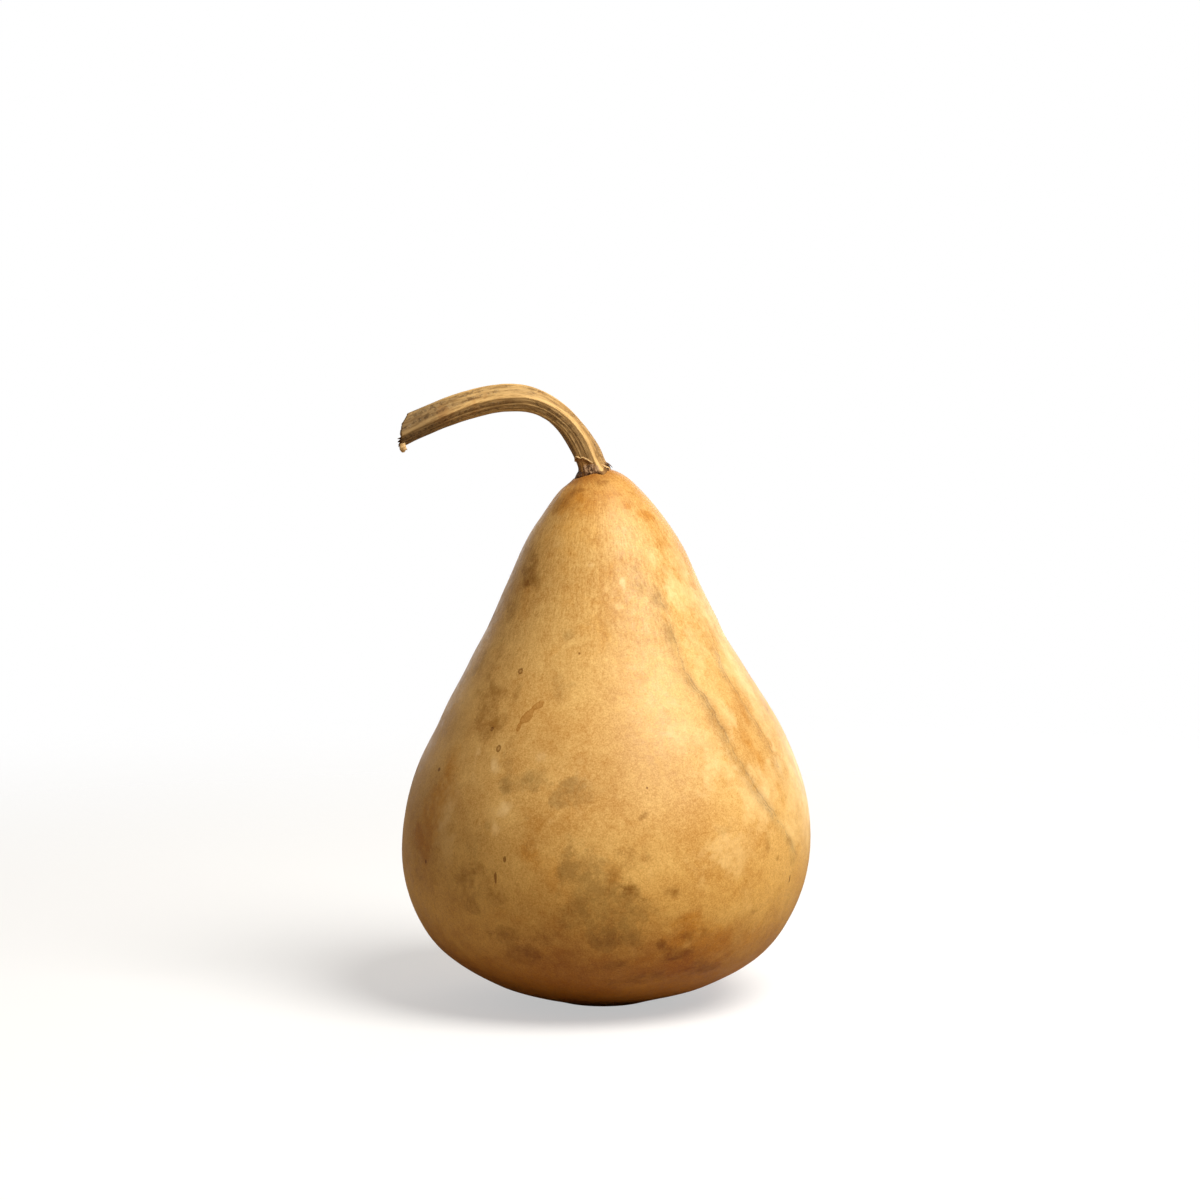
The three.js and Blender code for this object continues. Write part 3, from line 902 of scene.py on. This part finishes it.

# %% [markdown]
# ## Stained skin
#
# A stain takes light away, so each kind is a filter: a colour that the skin's own colour is multiplied by.
# Orange is where the skin is thin and oily, olive and brown are mould, and rust is an old wet scratch with
# a dark edge; only the pale patches are mixed in instead: rubbed or dried-out skin, and on the right flank
# partly a painted highlight along that edge. The smooth values on the mesh say where and how much, and noise
# decides which grains of the skin took the stain. Without the noise a stain looks airbrushed.

# %% Stained skin
PALE_SKIN = colour(248, 212, 150)
STAIN_FILTERS = {
    "orange": (0.84, 0.66, 0.36, 1),
    "olive": (0.62, 0.59, 0.52, 1),
    "brown": (0.50, 0.38, 0.16, 1),
    "rust": (0.66, 0.50, 0.28, 1),
}
STAIN_GRAIN = {"pale": 70, "orange": 60, "olive": 85, "brown": 95}


def value(start, name):
    """A named value that the mesh holds."""
    return start.node("Attribute", {"attribute_name": name}, output=2)


def noise(start, place, scale, detail=2, rough=0.5):
    """Layered noise of about 0.25 to 0.75; its largest features are 1 / scale metres across."""
    inputs = {"Vector": place, "Scale": scale, "Detail": detail, "Roughness": rough}
    return start.node("TexNoise", inputs=inputs)


def stained_skin(skin, where, fine):
    """The skin with its stains. Each stain's value is shaken by noise and then cut off rather sharply,
    which gives it a ragged edge; a finer noise makes it uneven inside, and it is as strong as the value
    was."""
    for name, scale in STAIN_GRAIN.items():
        amount = value(skin, name)
        torn = (noise(skin, where, scale, 6, 0.75) - 0.5) * 2.6 + (fine - 0.5) * 0.5
        uneven = noise(skin, where, scale * 3.5, 5, 0.75).ramp(0.3, 0.66) * 0.75 + 0.4
        patch = (amount + torn).ramp(0.16, 0.62) * (amount * 0.95 + 0.08) * uneven
        # Pale patches are mixed in: rubbed skin, and on the right flank partly a painted highlight.
        if name == "pale":
            skin = (patch * 0.7).tint(skin, PALE_SKIN)
        else:
            skin = patch.tint(skin, STAIN_FILTERS[name], "MULTIPLY")
    dried = value(skin, "rust") + (fine - 0.5) * 1.5
    edge = abs(dried - 0.5).ramp(0.16, 0)
    rust = (dried.ramp(0.38, 0.52) * 0.7 + edge * 0.3) * value(skin, "rust").ramp(0.05, 0.3)
    return rust.tint(skin, STAIN_FILTERS["rust"], "MULTIPLY")


print("stain filters:", ", ".join(STAIN_FILTERS))

# %% [markdown]
# ## Veins and spots
#
# Under the shell's relief the veins also show as colour: a soft grey shadow where the strand lay, and thin
# dark lines along its edges that come and go. Both are drawn from one number on the mesh, how many
# millimetres a point lies beside the vein, so that a line is simply where that number is near a chosen one.
# Noise added to the number first makes the line crinkle.

# %% Veins and spots
VEIN_FILTER = (0.60, 0.61, 0.66, 1)
LINE_FILTER = (0.56, 0.56, 0.60, 1)
SPOT_FILTER = (0.36, 0.24, 0.08, 1)
VEIN_LOOKS = {
    # how strong the shadow is, and how strong the lines are
    "main_vein": [0.65, 0.65],
    "second_vein": [0.35, 0.7],
    "third_vein": [0.4, 0.25],
}
VEIN_LINES = [
    # mm beside the vein, how far it crinkles in mm, and the level of noise from which it shows
    [0, 2.4, 0.40],
    [1.3, 3.4, 0.49],
    [2.7, 4.4, 0.53],
]


def veined_skin(skin, where, fine):
    """The skin with its veins: a soft grey shadow, and in it three thin crinkled lines that come and go."""
    bend = (noise(skin, where, 110, 2) - 0.5) * 3.0
    comes = noise(skin, where, 70, 3, 0.6)
    crinkle = noise(skin, where, 420, 3, 0.6)
    for name, (shadow, line) in VEIN_LOOKS.items():
        aside = value(skin, name) + bend
        reach = value(skin, name + "_reach")
        broken = (comes * 0.7 + crinkle * 0.3).ramp(0.25, 0.6)
        grey = abs(aside + 1.2).ramp(5.0, 0) * broken * reach * shadow
        skin = grey.tint(skin, VEIN_FILTER, "MULTIPLY")
        for beside_vein, crinkled, often in VEIN_LINES:
            thin = abs(aside + beside_vein + (crinkle - 0.5) * crinkled).ramp(0.55, 0.05)
            shown = (comes * 0.5 + fine * 0.5).ramp(often, often + 0.1)
            skin = (thin * shown * reach * line).tint(skin, LINE_FILTER, "MULTIPLY")
    return skin


def spotted_skin(skin, where, fine):
    """The skin with its few small round marks, some with a paler middle. The distance to a mark's place
    is measured in half widths, so that 1 is the mark's edge."""
    for turned, rise, wide, tall, paler in SPOTS:
        apart = skin.node("VectorMath", {"operation": "SUBTRACT"}, {0: where, 1: on_shell(turned, rise)})
        half = (wide * MM, wide * MM, tall * MM)
        share = skin.node("VectorMath", {"operation": "DIVIDE"}, {0: apart, 1: half})
        out = skin.node("VectorMath", {"operation": "LENGTH"}, {0: share}, output=1) + (fine - 0.5) * 0.8
        spot = out.ramp(1.25, 0.8) * (out.ramp(0.2, 0.75) * paler + (1 - paler))
        skin = (spot * 0.85).tint(skin, SPOT_FILTER, "MULTIPLY")
    return skin


print("vein lines:", len(VEIN_LOOKS) * len(VEIN_LINES), "spots:", len(SPOTS))

# %% [markdown]
# ## The skin's finish
#
# Golden brown skin is never one colour. Broad clouds, small mottles and fine grain share one sum, and that
# sum picks a tone between a dark and a light tan. On the neck, fibres run up and down; they come from the
# same noise, read at a place that is stretched along the shell. The skin is warmer low down, and browner at
# the top and in the ring below the stem; at the base it carries a painted shade in painted warm reflected
# light. The same layers, much weaker, are the height of a bump, for pores that are too small to model.

# %% Skin finish
DARK_SKIN = colour(176, 116, 40)
LIGHT_SKIN = colour(242, 200, 124)
SCAR_TONES = [colour(70, 46, 28), colour(164, 122, 76)]
WARM_FILTER = (0.98, 0.92, 0.66, 1)
# A multiplier for the painted shade at the base, warmed as by painted reflected light.
BASE_SHADE_FILTER = (0.60, 0.40, 0.20, 1)
TOP_FILTER = (0.78, 0.63, 0.40, 1)
SEAT_FILTER = (0.60, 0.42, 0.20, 1)


def darker_ends_and_scar(skin, start, up, cloud, mottle):
    """The skin by height, up being its share of the whole: warmer low down, browner at the top, and at the
    base a painted shade in painted warm reflected light; browner round the stem, and corky in the blossom
    scar."""
    uneven = (cloud - 0.5) * 0.12
    skin = ((up + uneven).ramp(0.40, 0.15) * 0.9).tint(skin, WARM_FILTER, "MULTIPLY")
    # Painted shade, with painted warm reflected light, over the lowest part of the shell.
    skin = ((up + uneven).ramp(0.20, 0.05) * 0.9).tint(skin, BASE_SHADE_FILTER, "MULTIPLY")
    skin = ((up + uneven).ramp(0.76, 0.86) * 0.8).tint(skin, TOP_FILTER, "MULTIPLY")
    beneath = value(start, "under_stem") * (cloud * 0.6 + mottle * 0.6).ramp(0.3, 0.7)
    skin = (beneath * 0.85).tint(skin, SEAT_FILTER, "MULTIPLY")
    corky = mottle.ramp(0.38, 0.62).tint(*SCAR_TONES)
    return value(start, "foot_scar").ramp(0.2, 0.7).tint(skin, corky)


def gourd_finish():
    """Golden tan skin: base tones, then stains, veins and spots, and a faint relief of fibres and pores."""
    material, start = new_finish("gourd_finish")
    where = start.node("TexCoord", output=3)
    along_fibres = start.node("Attribute", {"attribute_name": "grain_place"}, output=1)
    fibre_place = start.node("Mapping", inputs={"Vector": along_fibres, "Scale": (1, 1, 0.4)})
    up = start.node("SeparateXYZ", inputs={0: where}, output=2) / TALL
    neck = up.ramp(0.42, 0.75)

    cloud = noise(start, where, 28, 7, 0.72)
    mottle = noise(start, where, 300)
    fleck = noise(start, where, 850, 2, 0.6)
    grain = noise(start, where, 1900, 2, 0.7)
    fibres = noise(start, fibre_place, 900, 3, 0.6)
    tone = (cloud - 0.5) * 1.15 + (mottle - 0.5) * 0.2 + (fleck - 0.5) * 0.3 + (grain - 0.5) * 0.95
    tone = tone + (fibres - 0.5) * (neck * 0.7 + 0.2) + 0.5
    skin = tone.ramp(-0.1, 1.1).tint(DARK_SKIN, LIGHT_SKIN)
    skin = stained_skin(skin, where, mottle)
    skin = veined_skin(skin, where, fleck)
    skin = spotted_skin(skin, where, fleck)
    skin = darker_ends_and_scar(skin, start, up, cloud, mottle)

    pores = fleck * 0.00004 + mottle * 0.00006 + grain * 0.00003
    shape = fibres * (neck * 0.00005 + 0.00001) + pores
    bump = start.node("Bump", inputs={"Strength": 0.5, "Distance": 1.0, "Height": shape})
    rough = 0.5 + (mottle - 0.5) * 0.3 + (fleck - 0.5) * 0.3
    inputs = {"Base Color": skin, "Roughness": rough, "Normal": bump, "Specular IOR Level": 0.3}
    return finish_with(material, start.node("BsdfPrincipled", inputs=inputs))


gourd_shell.data.materials.append(gourd_finish())

# %% [markdown]
# ## The stem's finish
#
# Dry bark is palest on the ridges, partly where it is rubbed and partly as a painted highlight. Between them
# lie flats with dark streaks, soot-like mould and pale specks. A painted shade darkens and greys the under
# side, and near the foot also the flats between the ridges. The streaks are noise that is read at a place
# squeezed along the stem, nine times shorter than it is, so that every feature comes out nine times longer
# than wide. At the foot the bark has peeled off to brown wood, and the collar is crumbled cork, darker at
# its lower edge.

# %% Stem finish
def ribbed_bark(start, where, strands, streaks, crumb, speck, patch):
    """Golden ridges, partly a painted highlight, and between them tan flats with dark streaks and pale
    specks.
    Painted shade darkens the under side, and near the foot the flats between the ridges.
    """
    crest = value(start, "ridge") + (streaks - 0.5) * 1.6 + (patch - 0.5) * 0.8
    # The ridges are painted lighter: partly rubbed bark, partly a painted highlight.
    bark = crest.ramp(-0.6, 0.9).tint(colour(184, 147, 93), colour(214, 173, 110))
    bark = (strands.ramp(0.52, 0.62) * 0.6).tint(bark, (0.50, 0.42, 0.32, 1), "MULTIPLY")
    bark = (strands.ramp(0.5, 0.3) * 0.35).tint(bark, colour(240, 200, 132))
    trough = crest.ramp(0.3, -0.5) * patch.ramp(0.36, 0.56)
    bark = (trough * crumb.ramp(0.48, 0.57) * 0.85).tint(bark, (0.42, 0.38, 0.34, 1), "MULTIPLY")
    bark = (trough * speck.ramp(0.58, 0.7) * 0.6).tint(bark, colour(206, 184, 146))
    bark = (patch.ramp(0.55, 0.7) * 0.5).tint(bark, (0.72, 0.52, 0.34, 1), "MULTIPLY")
    sideways = start.node("SeparateXYZ", inputs={0: where})
    # Painted shade on the stem's under side, stronger near the foot.
    shade = value(start, "under") * (streaks * 0.5 + patch * 0.5).ramp(0.25, 0.55)
    near_foot = sideways.ramp(-0.03, -0.01)
    bark = (shade * (near_foot * 0.4 + 0.38)).tint(bark, (0.52, 0.48, 0.45, 1), "MULTIPLY")
    # Painted shade on the flats between the ridges near the foot, away from the under side.
    flat_shade_near_foot = near_foot * (1 - value(start, "under")) * crest.ramp(0.9, 0)
    bark = (flat_shade_near_foot * 0.6).tint(bark, (0.66, 0.56, 0.42, 1), "MULTIPLY")
    weathered = sideways.ramp(-0.045, -0.066) + (patch - 0.5) * 0.4
    return weathered.tint(bark, (0.50, 0.50, 0.54, 1), "MULTIPLY")


def foot_and_cut(bark, start, strands, streaks, crumb, speck):
    """The bark with its peeled patch, its corky collar darker at the lower edge, and the bare wood of the cut
    end.
    With it comes how corky each place is."""
    bare = (crumb * 0.6 + streaks * 0.5).ramp(0.4, 0.7).tint(colour(132, 88, 40), colour(182, 132, 70))
    bark = (value(start, "peeled").ramp(0.3, 0.6) * 0.85).tint(bark, bare)
    cork = (value(start, "cork") + (crumb - 0.5) * 1.6 + (speck - 0.5) * 0.6).ramp(0.35, 0.65)
    crumbly = (crumb * 0.6 + speck * 0.5).ramp(0.48, 0.66).tint(colour(74, 44, 26), colour(196, 158, 120))
    bark = (cork * 0.9).tint(bark, crumbly)
    dark_lower_edge = (value(start, "collar") + (crumb - 0.5) * 1.2).ramp(0.4, 0.8)
    bark = (dark_lower_edge * 0.85).tint(bark, (0.30, 0.20, 0.12, 1), "MULTIPLY")
    wood = strands.ramp(0.3, 0.7).tint(colour(130, 96, 56), colour(220, 184, 128))
    return value(start, "cut_face").ramp(0.4, 0.6).tint(bark, wood), cork


def stem_finish():
    """Dry ribbed bark with its foot and its cut end, and a faint relief of strands and crumbs."""
    material, start = new_finish("stem_finish")
    where = start.node("TexCoord", output=3)
    grain_place = start.node("Attribute", {"attribute_name": "grain_place"}, output=1)
    strands = noise(start, grain_place, 1400, 3, 0.65)
    streaks = noise(start, grain_place, 500, 3, 0.6)
    speck = noise(start, where, 1700, 2, 0.6)
    crumb = noise(start, where, 700, 3, 0.6)
    patch = noise(start, where, 150, 3, 0.6)
    bark = ribbed_bark(start, where, strands, streaks, crumb, speck, patch)
    bark, cork = foot_and_cut(bark, start, strands, streaks, crumb, speck)
    shape = strands * 0.00012 + speck * 0.00005 + crumb * (cork * 0.0003 + 0.00006)
    bump = start.node("Bump", inputs={"Strength": 0.35, "Distance": 1.0, "Height": shape})
    rough = 0.6 + (speck - 0.5) * 0.4
    inputs = {"Base Color": bark, "Roughness": rough, "Normal": bump, "Specular IOR Level": 0.2}
    return finish_with(material, start.node("BsdfPrincipled", inputs=inputs))


stem_bark.data.materials.append(stem_finish())

# %% [markdown]
# ## Finishes of the loose bits
#
# The fibres and flakes are a millimetre wide, so two tones in streaky noise are enough: a dark one for what
# is weathered through and a pale one for what has torn lately.

# %% Loose bits' finishes
def plain_dry(name, dark, light):
    """Dry plant matter without marks: two tones in fine streaky noise."""
    material, start = new_finish(name)
    where = start.node("TexCoord", output=3)
    tone = noise(start, where, 900, 4, 0.7).ramp(0.35, 0.65).tint(colour(*dark), colour(*light))
    inputs = {"Base Color": tone, "Roughness": 0.7, "Specular IOR Level": 0.25}
    return finish_with(material, start.node("BsdfPrincipled", inputs=inputs))


dark_dry = plain_dry("dark_flake", (62, 38, 24), (132, 94, 58))
pale_dry = plain_dry("pale_flake", (180, 138, 84), (228, 192, 134))
for piece in (collar_flakes, tip_tuft):
    piece.data.materials.append(dark_dry)
for piece in (pale_flakes, tip_shred, peel_thread):
    piece.data.materials.append(pale_dry)

# %% [markdown]
# ## Joining the pieces to the frame
#
# The gourd is one rigid body, so every piece rides on the root. Each stands for a part of the imported model,
# the shell for its body and all the rest for its stem, and that part is hidden.

# %% Joining the pieces to the frame
stem_pieces = [stem_bark, tip_tuft, tip_shred, peel_thread, collar_flakes, pale_flakes]
for piece in [gourd_shell] + stem_pieces:
    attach(piece, "root")
    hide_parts("stem" if piece in stem_pieces else "gourd_body")
print("pieces:", 1 + len(stem_pieces), "all riding on the root")
